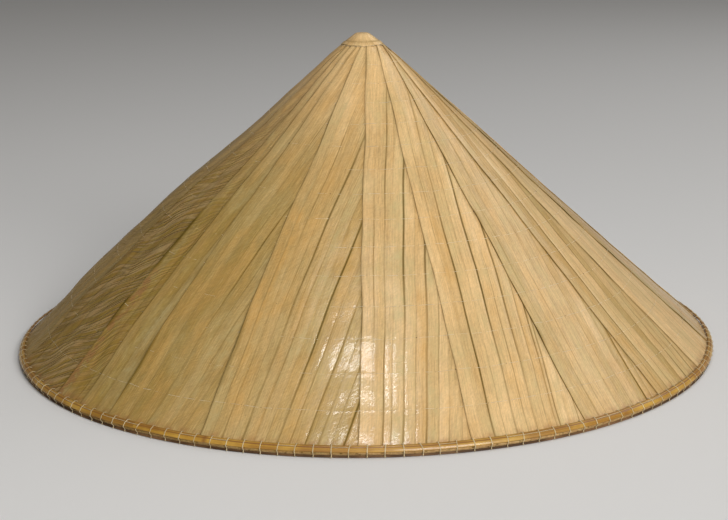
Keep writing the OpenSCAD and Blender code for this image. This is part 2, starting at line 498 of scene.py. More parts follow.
def band(place, s, t):
    """A coloured patch along a leaf, given as its ends along s, its sides along t and its strength."""
    if place is None:
        return 0.0
    s_from, s_to, t_from, t_to, strength = place
    along = smooth((s - s_from) / 14) * smooth((s_to - s) / 14)
    return strength * along * smooth((t - t_from) / 2 + 0.5) * smooth((t_to - t) / 3 + 0.5)


def sheet_rows():
    """Rows of a leaf's grid, closer together where a hoop lies under it."""
    plain = np.arange(LEAF_START_S, LEAF_END_S, ROW_STEP)
    near = (HOOP_S[:, None] + NEAR_HOOP).ravel()
    rim = STRIP_TOP_S + np.array([-2.0, -1.0, 0.0, 1.0])
    kept = [LEAF_START_S]
    for s in np.sort(np.concatenate([plain, near, rim])):
        if s - kept[-1] > 0.55:
            kept.append(float(s))
    kept[-1] = LEAF_END_S
    return kept


# How the outer leaves at the front differ from the rest, by number. LEAN is how far right of the apex the
# left edge's line passes. PLEATS are (distance from the left edge, strength). LOOKS are: edge, how
# dark the left edge is, and the painted shade along the next leaf's edge; fold, the pleats' strength;
# tone, pale above 0 and olive below, where the deep olive of the leaves left of the front (22 to 4)
# is painted shade of that side on top of their own tone; ripple, unevenness; crinkle, wrinkles;
# lift, how far the left edge stands off; gapes, its open places as (middle, length, height), with a
# painted shadow along the edge there; stain; and band and stain_band, warm and stained patches.
LEAN = {1: 1.0, 2: 3.0, 3: 5.0, 4: 4.0, 5: 2.5, 6: 5.6, 7: 7.6, 8: 5.4, 9: 9.0}
PLEATS = {
    3: [(7, 0.15), (12.5, 0.3), (19, 0.2), (26, 0.75), (33, 0.2), (40, 0.5), (47, 0.2)],
    4: [
        (6, 0.2), (11.5, 0.3), (17, 0.15), (22, 0.9), (28, 0.3), (33.5, 0.2), (39.5, 0.95),
        (45.5, 0.3), (53, 0.6), (59, 0.55), (65, 0.3),
    ],
    5: [
        (6, 0.25), (11.5, 0.6), (15.5, 0.2), (21.3, 0.95), (27, 0.25), (32.5, 0.95), (38.5, 0.25),
        (43.5, 0.6),
    ],
    6: [
        (6, 0.15), (12, 0.9), (18, 0.15), (24, 0.95), (30, 0.2), (35, 0.85), (41.5, 0.25), (46, 0.8),
        (48, 0.6),
    ],
    7: [(5, 0.15), (10, 0.2), (15, 0.15), (20, 0.25), (25, 0.15), (30, 0.2), (35, 0.3)],
}
LOOKS = {
    22: dict(edge=0.3, fold=0.5, tone=-1.5, ripple=2.0, crinkle=0.4),
    23: dict(edge=0.4, fold=0.5, tone=-1.5, ripple=2.5, crinkle=0.5),
    24: dict(
        edge=1.0, fold=0.5, tone=-2.5, ripple=4.0, crinkle=1.0, stain=0.3, gapes=[(150, 70, 0.35)]
    ),
    1: dict(
        edge=1.0, fold=0.5, tone=-2.4, ripple=2.0, crinkle=0.35, lift=0.15,
        gapes=[(165, 46, 0.9), (214, 28, 0.8)],
        band=(190, 268, 0.6, 7, 0.3), stain=0.25, stain_band=(180, 275, 0.6, 6.5, 1.4),
    ),
    2: dict(edge=1.0, fold=0.5, tone=-1.8, gapes=[(130, 24, 0.3)]),
    3: dict(edge=0.7, fold=0.7, tone=-1.55, gapes=[(238, 46, 0.6)]),
    4: dict(
        edge=0.9, fold=0.9, tone=-1.05, band=(125, 235, 0.5, 8, 0.8), gapes=[(222, 60, 0.5)]
    ),
    5: dict(edge=0.9, lift=0.1, tone=0.5),
    6: dict(edge=0.5, tone=0.5, band=(130, 188, 3, 12, 0.8)),
    7: dict(edge=0.8, tone=-0.35, lift=0.12, gapes=[(141, 14, 0.35), (217, 12, 0.35)]),
    8: dict(edge=0.6, tone=-0.4, lift=0.1),
    9: dict(edge=0.6, tone=1.2, fold=0.6),
}


def leaf_layer(nodes, top, follow, overlap, prefix, material, slot, lean_mean):
    """All the leaves of a layer, each a piece of its own."""
    edges = left_edges(nodes)
    layer = []
    for i in range(len(nodes)):
        rng = np.random.default_rng(500 + i)
        known_as = i + 1 if nodes is OUTER_NODES else None
        width = (edges[i + 1] - edges[i]) * SIN * LEAF_END_S
        lean = LEAN.get(known_as, lean_mean + rng.uniform(-0.8, 0.8))
        fixed = PLEATS.get(known_as, [(rng.uniform(5, 7), 0.3)])
        lines = pleat_lines(i + round(top * 10), width, fixed, strong_every=int(rng.integers(2, 4)))
        looks = LOOKS.get(known_as, dict(tone=rng.normal(0, 0.25), edge=rng.uniform(0.5, 0.95)))
        layer.append(Leaf(edges[i], lean, i + 1, lines, **looks))
    rows = sheet_rows()
    for i, leaf in enumerate(layer):
        following = layer[(i + 1) % len(layer)]
        if i + 1 == len(layer):
            following = Leaf(edges[-1], following.lean, following.number, following.pleats)
        points, faces, marks = leaf_sheet(leaf, following, top, follow, rows, overlap)
        piece = Piece()
        piece.add(points, faces, **marks)
        piece.finish(f"{prefix}_{i + 1:02d}", HAT, slot, material, [nodes[i]], sharp_deg=50)


# ---- materials


class Shader:
    """Short ways to build a material's nodes."""

    def __init__(self, name):
        self.material = bpy.data.materials.new(name)
        self.material.use_nodes = True
        self.tree = self.material.node_tree
        self.surface = self.tree.nodes["Principled BSDF"]

    def put(self, value, socket):
        if isinstance(value, bpy.types.NodeSocket):
            self.tree.links.new(value, socket)
        elif hasattr(value, "__len__") and len(value) == 3 and socket.type == "RGBA":
            socket.default_value = (*value, 1)
        else:
            socket.default_value = value

    def node(self, kind, inputs, output=0, **settings):
        node = self.tree.nodes.new(kind)
        for key, value in settings.items():
            setattr(node, key, value)
        for key, value in inputs.items():
            self.put(value, node.inputs[key])
        return node.outputs[output]

    def mark(self, name):
        return self.node("ShaderNodeAttribute", {}, 2, attribute_name=name)

    def place(self):
        return self.mark("across"), self.mark("along"), self.mark("seed")

    def math(self, operation, *values, clamp=False):
        inputs = dict(enumerate(values))
        return self.node("ShaderNodeMath", inputs, operation=operation, use_clamp=clamp)

    def times(self, a, b, clamp=False):
        return self.math("MULTIPLY", a, b, clamp=clamp)

    def linear(self, value, slope, start):
        return self.math("MULTIPLY_ADD", value, slope, start)

    def fit(self, value, low_in, high_in, low_out=0.0, high_out=1.0):
        inputs = {0: value, 1: low_in, 2: high_in, 3: low_out, 4: high_out}
        return self.node("ShaderNodeMapRange", inputs, interpolation_type="SMOOTHSTEP")

    def vector(self, x, y, z):
        return self.node("ShaderNodeCombineXYZ", {0: x, 1: y, 2: z})

    def noise(self, vector, scale=1.0, detail=3.0, rough=0.5):
        inputs = {"Vector": vector, "Scale": scale, "Detail": detail, "Roughness": rough}
        return self.node("ShaderNodeTexNoise", inputs)

    def mix(self, factor, a, b, blend="MIX"):
        inputs = {0: factor, 6: a, 7: b}
        return self.node("ShaderNodeMix", inputs, 2, data_type="RGBA", blend_type=blend)

    def shade(self, colour, factor):
        """The colour made lighter or darker by a factor."""
        return self.mix(1.0, colour, self.vector(factor, factor, factor), "MULTIPLY")

    def bump(self, height, distance_mm, normal=None):
        inputs = {"Height": height, "Distance": distance_mm * MM, "Strength": 1.0}
        if normal is not None:
            inputs["Normal"] = normal
        return self.node("ShaderNodeBump", inputs)

    def done(self, **inputs):
        for name, value in inputs.items():
            self.put(value, self.surface.inputs[name.replace("_", " ")])
        return self.material


def leaf_material(name, colours, gloss, speckle=0.35):
    """Ironed palm leaf: long fibres, pleat lines, brown stains and a coat of varnish. The dark pleat and
    edge lines are partly painted shade, and the crinkle ridges carry a painted highlight.

    colours holds the colours of pale fibre, main leaf, darker fibre, olive leaf, crease and stain.
    """
    pale, main, dull, olive, crease_colour, stain_colour = colours
    sh = Shader(name)
    across, along, seed = sh.place()
    offset = sh.times(seed, 37.7)
    x = sh.math("ADD", across, offset)
    slant = sh.linear(along, 0.45, x)

    def field(u, along_scale, third, *settings):
        """Noise whose marks are long down the leaf where along_scale is small."""
        return sh.noise(sh.vector(u, sh.times(along, along_scale), third), *settings)

    fibres = field(x, 0.012, seed, 1.3, 4.0, 0.62)
    threads = field(x, 0.03, seed, 4.2, 2.0, 0.5)
    clouds = field(x, 0.35, seed, 0.07, 3.0, 0.55)
    blots = field(x, 0.8, offset, 0.22, 4.0, 0.6)
    specks = field(x, 0.5, offset, 1.6, 2.0, 0.7)
    patches = field(x, 0.4, offset, 0.11, 2.0, 0.55)
    stipple = field(slant, 0.7, seed, 1.1, 2.0, 0.6)

    # Wavy ridges that cross a shrunken leaf at a slant
    crinkled = sh.mark("crinkle")
    wander = sh.noise(sh.vector(across, along, seed), 0.035, 1.0, 0.5)
    slant_along = sh.linear(across, 0.85, along)
    wavy_along = sh.linear(wander, 18.0, slant_along)
    ripples = sh.noise(sh.vector(sh.times(across, 0.09), wavy_along, seed), 0.26, 1.5, 0.5)
    ridges = sh.fit(sh.math("ABSOLUTE", sh.math("SUBTRACT", ripples, 0.5)), 0.0, 0.11, 1.0, 0.0)
    ridges = sh.times(ridges, crinkled)

    tone = sh.mark("tone")
    colour = sh.mix(sh.fit(fibres, 0.30, 0.62), dull, main)
    colour = sh.mix(sh.fit(clouds, 0.42, 0.72, 0.0, 0.45), colour, pale)
    colour = sh.mix(sh.times(tone, -0.36, clamp=True), colour, olive)
    colour = sh.mix(sh.fit(tone, 0.3, 2.0, 0.0, 0.8), colour, pale)
    # Painted highlight: the crinkle ridges are painted paler, as light catching their crests
    colour = sh.mix(sh.times(ridges, 0.5), colour, pale)
    brightness = sh.linear(tone, 0.06, sh.linear(crinkled, -0.1, 1.0))
    for noise, low_in, high_in, swing in (
        (threads, 0.25, 0.75, 0.16), (stipple, 0.3, 0.7, 0.07), (clouds, 0.3, 0.7, 0.04)
    ):
        brightness = sh.times(brightness, sh.fit(noise, low_in, high_in, 1 - swing, 1 + swing))
    colour = sh.shade(colour, brightness)
    patchiness = sh.fit(crinkled, 0.1, 0.6, 1.0, 0.3)
    patches = sh.times(sh.fit(patches, 0.3, 0.7, -0.5, 0.4), patchiness)
    warmth = sh.math("ADD", sh.mark("warm"), patches)
    warm = sh.times(warmth, sh.fit(blots, 0.3, 0.6, 0.4, 1.0), clamp=True)
    colour = sh.mix(sh.times(warm, 0.5), colour, (0.62, 0.33, 0.08))
    cool = sh.times(warmth, sh.fit(blots, 0.3, 0.6, -1.0, -0.4), clamp=True)
    colour = sh.mix(sh.times(cool, 0.8), colour, (0.47, 0.385, 0.175))
    colour = sh.mix(sh.fit(threads, 0.60, 0.72, 0.0, 0.3), colour, pale)
    stained = sh.times(sh.mark("stain"), sh.fit(blots, 0.42, 0.62, 0.1, 1.0), clamp=True)
    colour = sh.mix(sh.times(stained, 0.65), colour, stain_colour)
    colour = sh.mix(sh.fit(specks, 0.66, 0.76, 0.0, speckle), colour, crease_colour)
    creased = sh.times(sh.mark("crease"), sh.fit(fibres, 0.25, 0.6, 1.25, 0.9), clamp=True)
    colour = sh.mix(creased, colour, crease_colour)

    height = sh.linear(fibres, 0.6, sh.times(threads, 0.4))
    height = sh.linear(ridges, 8.0, height)
    normal = sh.bump(height, 0.08)
    crinkle = sh.noise(sh.vector(slant, along, seed), 0.42, 3.0, 0.55)
    varnish = sh.fit(blots, 0.3, 0.7, gloss * 0.55, gloss)
    varnish = sh.times(varnish, sh.fit(crinkled, 0.1, 0.5, 1.0, 0.15))
    return sh.done(
        Base_Color=colour,
        Roughness=sh.linear(crinkled, 0.25, sh.fit(clouds, 0.3, 0.7, 0.62, 0.5)),
        Specular_IOR_Level=sh.fit(creased, 0.0, 0.6, 0.3, 0.03),
        Normal=normal,
        Coat_Weight=sh.times(varnish, sh.fit(creased, 0.0, 0.4, 1.0, 0.0)),
        Coat_Roughness=sh.fit(specks, 0.3, 0.7, 0.07, 0.16),
        Coat_Normal=sh.bump(crinkle, 0.05),
    )


def wood_material(name, pale, main, dark, gloss, grain=2.2):
    """Split bamboo: fine lines along the strip, darker at its nodes (the crease mark)."""
    sh = Shader(name)
    across, along, seed = sh.place()
    offset = sh.times(seed, 17.3)
    lengthwise = sh.linear(along, 0.015, offset)
    lines = sh.noise(sh.vector(sh.times(across, grain), lengthwise, seed), 1.0, 4.0, 0.65)
    patches = sh.noise(sh.vector(along, offset, across), 0.05, 3.0, 0.5)
    colour = sh.mix(sh.fit(lines, 0.3, 0.7), dark, main)
    colour = sh.mix(sh.fit(patches, 0.4, 0.7, 0.0, 0.75), colour, pale)
    colour = sh.shade(colour, sh.linear(sh.mark("tone"), 0.15, 1.0))
    colour = sh.mix(sh.mark("crease"), colour, dark)
    return sh.done(
        Base_Color=colour,
        Roughness=0.5,
        Normal=sh.bump(lines, 0.12),
        Coat_Weight=gloss,
        Coat_Roughness=0.16,
    )


def thread_material(name, colour, twist=3.0, sheen=0.3):
    """Twisted thread; along runs down it and across is the angle round it."""
    sh = Shader(name)
    across, along, seed = sh.place()
    spiral = sh.math("SINE", sh.linear(along, TURN * twist, across))
    wear = sh.noise(sh.vector(along, across, seed), 0.3, 3.0, 0.6)
    shaded = sh.shade(colour, sh.fit(wear, 0.3, 0.7, 0.7, 1.08))
    # Painted shade: the thread is darker in the grooves of its twist
    shaded = sh.shade(shaded, sh.fit(spiral, -1.0, 1.0, 0.8, 1.05))
    return sh.done(
        Base_Color=shaded,
        Roughness=0.6,
        Normal=sh.bump(spiral, 0.05),
        Sheen_Weight=sheen,
        Sheen_Roughness=0.4,
    )


def ribbon_material():
    """Satin ribbon with a fine weave and slightly darker selvages."""
    ribs_per_mm = 1.6
    sh = Shader("ribbon")
    across, along = sh.mark("across"), sh.mark("along")
    ribs = sh.math("SINE", sh.times(along, TURN * ribs_per_mm))
    wear = sh.noise(sh.vector(along, across, 0.0), 0.12, 3.0, 0.55)
    selvage = sh.fit(sh.math("ABSOLUTE", across), 4.2, 4.9)
    colour = sh.mix(sh.fit(wear, 0.3, 0.7), (0.20, 0.018, 0.035), (0.30, 0.035, 0.055))
    colour = sh.mix(sh.times(selvage, 0.45), colour, (0.11, 0.01, 0.02))
    return sh.done(
        Base_Color=colour,
        Roughness=0.42,
        Anisotropic=0.5,
        Sheen_Weight=0.3,
        Normal=sh.bump(ribs, 0.03),
    )


def hole_shade_material():
    """Needle hole: painted shade, a dark matt colour for the shade inside the hole, slightly frayed."""
    sh = Shader("needle_hole")
    return sh.done(Base_Color=(0.045, 0.026, 0.012), Roughness=0.95)


OUTER_LEAF = leaf_material(
    "outer_leaf",
    [
        (0.68, 0.475, 0.24), (0.595, 0.392, 0.168), (0.48, 0.308, 0.12), (0.33, 0.212, 0.024),
        (0.085, 0.054, 0.006), (0.33, 0.15, 0.05),
    ],
    gloss=0.6,
)
INNER_LEAF = leaf_material(
    "inner_leaf",
    [
        (0.60, 0.44, 0.22), (0.52, 0.36, 0.155), (0.42, 0.28, 0.11), (0.36, 0.26, 0.08),
        (0.14, 0.085, 0.03), (0.36, 0.19, 0.07),
    ],
    gloss=0.1,
)
RIM_BAMBOO = wood_material(
    "rim_bamboo", (0.57, 0.34, 0.055), (0.43, 0.225, 0.014), (0.22, 0.085, 0.012), gloss=0.45, grain=3.5
)
# Rim hoop bamboo: near-black, partly the hoop's own dark colour and partly painted shade of the band under
# the brim
DARK_BAMBOO_AND_SHADE = wood_material(
    "dark_bamboo", (0.26, 0.14, 0.06), (0.11, 0.055, 0.022), (0.04, 0.02, 0.008), gloss=0.1
)
BAMBOO = wood_material(
    "bamboo", (0.68, 0.50, 0.26), (0.58, 0.39, 0.17), (0.36, 0.20, 0.07), gloss=0.35
)
THREAD = thread_material("thread", (0.84, 0.70, 0.46), sheen=0.0)
RIM_THREAD = thread_material("rim_thread", (0.76, 0.62, 0.37), sheen=0.0)
CORD = thread_material("cord", (0.74, 0.68, 0.52), twist=1.2)
RIBBON = ribbon_material()
HOLE_SHADE = hole_shade_material()


# ---- surfaces to sew through


def tree_of(prefix):
    """Search tree over the leaf pieces of one layer."""
    points, faces = [], []
    for piece in bpy.data.objects:
        if piece.name.startswith(prefix):
            start = len(points)
            points += [v.co for v in piece.data.vertices]
            faces += [[start + i for i in face.vertices] for face in piece.data.polygons]
    return BVHTree.FromPolygons(points, faces)


def skin(tree, s, azimuth, side):
    """Height n of the leaf layer's outer (side 1) or inner (side -1) face at each place."""
    start = cone(s, azimuth, side * 8.0)
    way = cone(s, azimuth, 0.0) - start
    heights = []
    for origin, direction in zip(start, way):
        _, _, _, distance = tree.ray_cast(Vector(origin), Vector(direction).normalized())
        heights.append(side * (8.0 - distance / MM))
    return np.array(heights)


# ---- stitches

STITCH = 8.8


def stitch_azimuths(s, rng):
    """Azimuths of the needle holes of a row: the same count of stitches fits at any size."""
    count = max(10, round(TURN * s * SIN / STITCH))
    return (np.arange(count) + rng.uniform(-0.16, 0.16, count)) * TURN / count


def pulled_in(s, azimuth):
    """How much deeper a stitch lies where the leaves are soft, left of the front."""
    from_middle = (azimuth + math.radians(42) + math.pi) % TURN - math.pi
    soft = smooth((math.radians(40) - abs(from_middle)) / math.radians(18))
    return 0.16 * soft * smooth((252 - s) / 20)


def outer_stitches(outer_skin):
    """Short dashes of thread on the leaves, and at their ends dark spots of painted shade, one for each
    needle hole.
    """
    threads, holes = Piece(), Piece()
    for row, s in enumerate(HOOP_S):
        rng = np.random.default_rng(40 + row)
        marks = stitch_azimuths(s, rng)
        offset = rng.uniform(-0.35, 0.35, len(marks))
        for j, start in enumerate(marks):
            end = marks[(j + 1) % len(marks)] + (TURN if j + 1 == len(marks) else 0)
            gap = 0.4 / (s * SIN)
            steps = max(5, round((end - start) * s * SIN / 1.1))
            azimuth = np.linspace(start + gap, end - gap, steps)
            part = np.linspace(0, 1, steps)
            line = s + offset[j] + (offset[(j + 1) % len(marks)] - offset[j]) * part
            if s < CAP_END_S:
                height = np.full(steps, CAP_N)
            else:
                height = skin(outer_skin, line, azimuth, 1)
                height[1:-1] = np.maximum(height[1:-1], (height[:-2] + height[2:]) / 2)
            sunk = rng.uniform(-0.04, 0.11) + pulled_in(s, start)
            path = height - sunk + 0.05
            path[[0, -1]] -= 0.35
            tube(threads, cone(line, azimuth, path), rng.uniform(0.07, 0.12) * MM, 5, seed=row)
            if s > CAP_END_S and rng.uniform() < 0.55:
                needle_hole(holes, s + offset[j], start, height[0], rng)
    threads.finish("stitches_outer", HAT, "thread", THREAD, ["row_stitches"])
    holes.finish("needle_holes", HAT, "outer_leaf", HOLE_SHADE)


def needle_hole(piece, s, azimuth, n, rng):
    """A flat dark spot of painted shade where the needle went through."""
    around = np.arange(7) * TURN / 7
    radius = rng.uniform(0.25, 0.55) * rng.uniform(0.8, 1.2, 7)
    ds, dx = radius * np.sin(around), 1.25 * radius * np.cos(around)
    rim = cone(s + ds, azimuth + dx / (s * SIN), n - 0.10)
    top = cone(np.array([s]), azimuth, n + 0.05)
    bottom = cone(np.array([s]), azimuth, n - 0.3)
    faces = [(7, i, (i + 1) % 7) for i in range(7)] + [(8, (i + 1) % 7, i) for i in range(7)]
    piece.add(np.concatenate([rim, top, bottom]), faces)


def inner_stitches():
    """Thread that comes through the leaves, crosses the back of a hoop and goes out again."""
    threads = Piece()
    half = HOOP_FACE / 2
    one_side = np.array([(half + 0.5, 0.25), (half + 0.22, -0.35), (half * 0.75, -1.55)])
    across = np.concatenate([-one_side[:, 0], [0], one_side[::-1, 0]])
    depth = np.concatenate([one_side[:, 1], [-HOOP_T - 0.2], one_side[::-1, 1]])
    for row, s in enumerate(HOOP_S):
        rng = np.random.default_rng(40 + row)
        for j, azimuth in enumerate(stitch_azimuths(s, rng)):
            slant = rng.uniform(0.5, 1.4) / (s * SIN)
            turn = azimuth + slant * np.linspace(-1, 1, len(across))
            tube(threads, cone(s + across, turn, depth), 0.16 * MM, 5, seed=row + j)
    threads.finish("stitches_inner", HAT, "thread", THREAD)


# ---- bamboo


def bamboo_ring(
    piece, profile, s, seed, lap_mm, nodes_every=170.0, knuckle=0.12, step_mm=2.5, dark=0.0
):
    """A split strip bent round the cone at s, whose tapered ends lap in a scarf joint.

    profile is (ds, n) round the section, and dark is how much darker each of its points is. The
    ends taper to a third over the lap. A swollen node comes every nodes_every millimetres.
    """
    rng = np.random.default_rng(seed)
    length = TURN * s * SIN
    count = round((length + lap_mm) / step_mm)
    run = np.linspace(0, length + lap_mm, count)
    start = rng.uniform(0, TURN)
    azimuth = start + run / (s * SIN)
    ds, n = np.array(profile).T
    thick = n.max() - n.min()
    middle = (n.max() + n.min()) / 2
    into = smooth(run / lap_mm)
    out = smooth((length + lap_mm - run) / lap_mm)
    share = 0.3 + 0.7 * np.minimum(into, out)
    shift = np.where(run < length / 2, 1, -1) * (1 - share) * thick / 2
    knuckles = np.arange(rng.uniform(30, nodes_every), length, nodes_every * rng.uniform(0.85, 1.15))
    swell = sum((peak(run - at, 2.2) for at in knuckles), 0 * run)
    ring = sum((peak(run - at, 0.9) for at in knuckles), 0 * run)
    wave = 0.06 * np.sin(run / 17 + seed) + 0.05 * np.sin(run / 41 + 2 * seed)
    fat = 1 + knuckle * swell
    heights = middle + (n[None] - middle) * share[:, None] + shift[:, None]
    heights = np.minimum(heights, n.max())
    rings = cone(s + wave[:, None] + ds[None] * fat[:, None], azimuth[:, None], heights)
    around = np.cumsum(np.hypot(np.diff(ds, append=ds[0]), np.diff(n, append=n[0])))
    crease = np.clip(0.85 * ring[:, None] + dark + 0 * heights, 0, 1)
    tone = 4.8 * wave[:, None] + 0 * heights
    swept(piece, rings, False, run, around, seed=seed, crease=crease, tone=tone)


def hoops():
    """The inner hoops: half-round splits, flat face out."""
    radius = (HOOP_FACE ** 2 / 4 + HOOP_T ** 2) / (2 * HOOP_T)
    flat_edge = math.asin((HOOP_T - radius) / radius)
    angles = np.linspace(flat_edge, -math.pi - flat_edge, 11)
    profile = [(radius * math.cos(a), radius * math.sin(a) - (HOOP_T - radius)) for a in angles]
    profile = [(x, min(n, 0.0)) for x, n in profile]
    for i, node in enumerate(HOOP_NODES):
        piece = Piece()
        bamboo_ring(piece, profile, HOOP_S[i], i + 1, 22.0)
        piece.finish(f"bamboo_{node}", HAT, "bamboo", BAMBOO, [node])


def rim_strip():
    """Golden strip on the outside of the brim, with a low ridge along it."""
    across = np.linspace(-1, 1, 13)
    crown = STRIP_T * (1 - 0.5 * across ** 2) - 0.24 * peak(across + 0.25, 0.13)
    middle = STRIP_TOP_S + STRIP_W / 2
    top = [(x * STRIP_W / 2, STRIP_N + h) for x, h in zip(across, crown)]
    profile = [(STRIP_W / 2, STRIP_N), (0.0, STRIP_N), (-STRIP_W / 2, STRIP_N)] + top
    # The strip is darker along its upper edge and along the groove in its crown
    dark = np.array([0, 0, 0.5, 0.5, 0.3, 0, 0, 0.9, 0.9] + [0] * (len(profile) - 9))
    piece = Piece()
    bamboo_ring(piece, profile, middle, 31, 40.0, nodes_every=210, knuckle=0.03, step_mm=2.0, dark=dark)
    piece.finish("rim_strip", HAT, "rim_bamboo", RIM_BAMBOO, ["rim_outer_strip"])


def rim_hoop():
    """The hoop that the hat stands on, near-black, partly from its own colour and partly painted shade,
    nicked where each wrap passes under it.
    """
    sections = WRAP_COUNT * 8
    azimuth = np.arange(sections) * TURN / sections
    run = azimuth * RIM_R
    from_wrap = ((azimuth * WRAP_COUNT / TURN + 0.5) % 1 - 0.5) * WRAP_STEP
    nick = 0.5 * peak(from_wrap, 0.75, 4)
    rough = 0.18 * waves(run, 0 * run, 14, 51) + 0.1 * waves(run, 0 * run, 4, 52)
    rough = np.clip(rough, -1, 0.6)
    outer = [(RIM_W, -0.5), (RIM_W - 0.5, -0.02), (4, 0.0), (2, 0.0)]
    bottom = [
        (RIM_R - 0.35, 0.3), (RIM_R - 0.9, 0.0), ((RIM_R + RIM_IN_R) / 2, 0.0),
        (RIM_IN_R + 0.9, 0.0), (RIM_IN_R + 0.4, 0.35),
    ]
    inner = [(4, -RIM_T), (RIM_W - 0.6, -RIM_T), (RIM_W, 0.5 - RIM_T)]
    rings = [cone(REST_S - up, azimuth, n) for up, n in outer]
    for r, z in bottom:
        s, n = to_cone(r + 0.25 * rough, np.maximum(z, nick) + 0.12 * rough * (z > 0))
        rings.append(cone(s, azimuth, n))
    rings += [cone(REST_S - up, azimuth, n) for up, n in inner]
    rings = np.stack(rings, 1)
    around = rings.shape[1]
    piece = Piece()
    tone = np.repeat(rough * 2, around)
    swept(piece, rings, True, run, np.arange(around) * 1.3, seed=3, tone=tone)
    piece.finish("rim_hoop", HAT, "dark_bamboo", DARK_BAMBOO_AND_SHADE, ["rim_inner_hoop"])


def wrap_path():
    """The way of a wrap as (s, n): over the strip, under the hoop and up its inner face."""
    top_s = STRIP_TOP_S
    edge_s = LEAF_END_S + GAP
    hoop_top_s = REST_S - RIM_W
    out_n = STRIP_N + STRIP_T
    half = WRAP_T / 2
    return np.array([
        (top_s - 0.9, OUTER_TOP - 0.4),
        (top_s - 0.45, STRIP_N + 0.35),
        (top_s - 0.1, STRIP_N + 0.62 * STRIP_T),
        (top_s + 0.9, out_n - 0.28),
        (top_s + STRIP_W / 2, out_n + 0.02),
        (edge_s - 0.9, out_n - 0.42),
        (edge_s + 0.05, STRIP_N + 0.5 * STRIP_T),
        (edge_s + 0.15, STRIP_N - 0.3),
        (edge_s + 0.2, 0.9),
        (edge_s + 0.55, 0.25),
        to_cone(RIM_R - 0.05, half + 0.06),
        to_cone(RIM_R - 0.8, half - 0.03),
        to_cone(RIM_IN_R + 0.6, half - 0.03),
        to_cone(RIM_IN_R - 0.1, half + 0.25),
        (hoop_top_s + 2, -RIM_T - 0.1),
        (hoop_top_s - 0.1, -RIM_T + 0.3),
        (hoop_top_s - 0.5, -1.4),
        (top_s - 1.1, 0.1),
    ]).T


def wraps():
    """Thread wraps that bind the rim, and lengths of thread that run along the strip."""
    piece = Piece()
    rng = np.random.default_rng(61)
    s, n = wrap_path()
    slant = np.clip((s - STRIP_END_S) / STRIP_W + 0.6, -0.6, 0.6)
    for i in range(WRAP_COUNT):
        azimuth = i * TURN / WRAP_COUNT
        lean = rng.normal(0, 0.45) / RIM_R
        path = cone(s, azimuth + lean * slant, n + WRAP_T / 2)
        tube(piece, path, rng.uniform(0.18, 0.27) * MM, 8, True, flat=0.5, seed=i)
        if rng.uniform() < 0.4:
            along_strip(piece, azimuth, azimuth + TURN / WRAP_COUNT, rng, i)
    piece.finish("rim_wraps", HAT, "rim_thread", RIM_THREAD, ["rim_stitches"])


def along_strip(piece, start, end, rng, seed):
    """A length of thread that runs along the strip's face from one wrap to the next."""
    azimuth = np.linspace(start, end, 8)
    bow = 0.12 * rng.uniform(-1, 1) * np.sin(np.linspace(0, math.pi, 8))
    path = cone(STRIP_TOP_S + 0.35 * STRIP_W - bow, azimuth, STRIP_N + 0.9 * STRIP_T)
    tube(piece, path, 0.14 * MM, 5, seed=seed)


# ---- cap


def cap():
    """A scrap of leaf folded over the tip: a small flat top, a fold half way and an uneven hem."""
    sections = 96
    azimuth = np.arange(sections) * TURN / sections
    uneven = 0.3 * np.sin(3 * azimuth + 1) + 0.2 * np.sin(7 * azimuth) + 0.1 * np.sin(17 * azimuth)
    crimp = 0.035 * np.sin(24 * azimuth + 2 * np.sin(5 * azimuth))
    top_z = high("apex_cap").z
    hem_s = HOOP_S[0] - 0.5 + uneven

    def ring(r, depth):
        """A ring of points at that radius and depth below the top."""
        x, y = r * np.sin(azimuth), -r * np.cos(azimuth)
        return np.stack([x, y, top_z - depth + 0 * azimuth], -1) * MM

    # Crown and hem: a ring, with its crease, stain and tone
    rings = [
        (ring(0.0, 0.0), 0.0, 0.2, 2.0),
        (ring(2.6, 0.0), 0.0, 0.3, 2.0),
        (ring(3.4 + crimp, 0.12), 0.1, 0.5, 1.8),
        (ring(4.3 + crimp, 0.55), 0.05, 0.3, 1.6),
        (ring(5.4 + crimp, 1.35), 0.0, 0.1, 1.4),
        (ring(6.9 + crimp, 2.45), 0.0, 0.0, 1.0),
        (ring(8.3 + crimp, 3.5), 0.0, 0.0, 0.8),
        (ring(9.5 + crimp, 4.45), 0.35, 0.0, 0.8),
        (cone(hem_s - 2.2, azimuth, CAP_N + crimp), 0.0, 0.0, 0.4),
        (cone(hem_s - 1.2, azimuth, CAP_N - 0.03 + crimp), 0.0, 0.0, 0.7),
        (cone(hem_s - 0.3, azimuth, CAP_N - 0.08 + crimp), 0.0, 0.0, 0.7),
        (cone(hem_s, azimuth, 2.2 + crimp), 0.5, 0.0, 0.4),
        (cone(hem_s, azimuth, 2.08), 0.0, 0.0, 0.0),
        (cone(hem_s - 2.2, azimuth, 2.06), 0.0, 0.0, 0.0),
        (ring(8.0, 4.6), 0.0, 0.0, 0.0),
        (ring(4.0, 4.2), 0.0, 0.0, 0.0),
        (ring(0.0, 4.2), 0.0, 0.0, 0.0),
    ]
    points, *values = zip(*rings)
    crease, stain, tone = np.repeat(values, sections, axis=1)
    count = len(rings)
    piece = Piece()
    piece.add(
        np.stack(points),
        grid_faces(count, sections, wrap_columns=True),
        across=np.tile(azimuth * 14, count),
        along=np.repeat(np.arange(count) * 2.0, sections),
        seed=77,
        crease=crease,
        stain=stain,
        tone=tone,
    )
    piece.finish("cap", HAT, "outer_leaf", OUTER_LEAF, ["apex_cap"])


# ---- chin strap

LOOP_R = 7.0
LOOP_X = high("chin_strap").x - 0.8
STRAP_Z = (low("chin_strap").z + high("chin_strap").z) / 2
LOOP_Z = STRAP_Z + LOOP_R


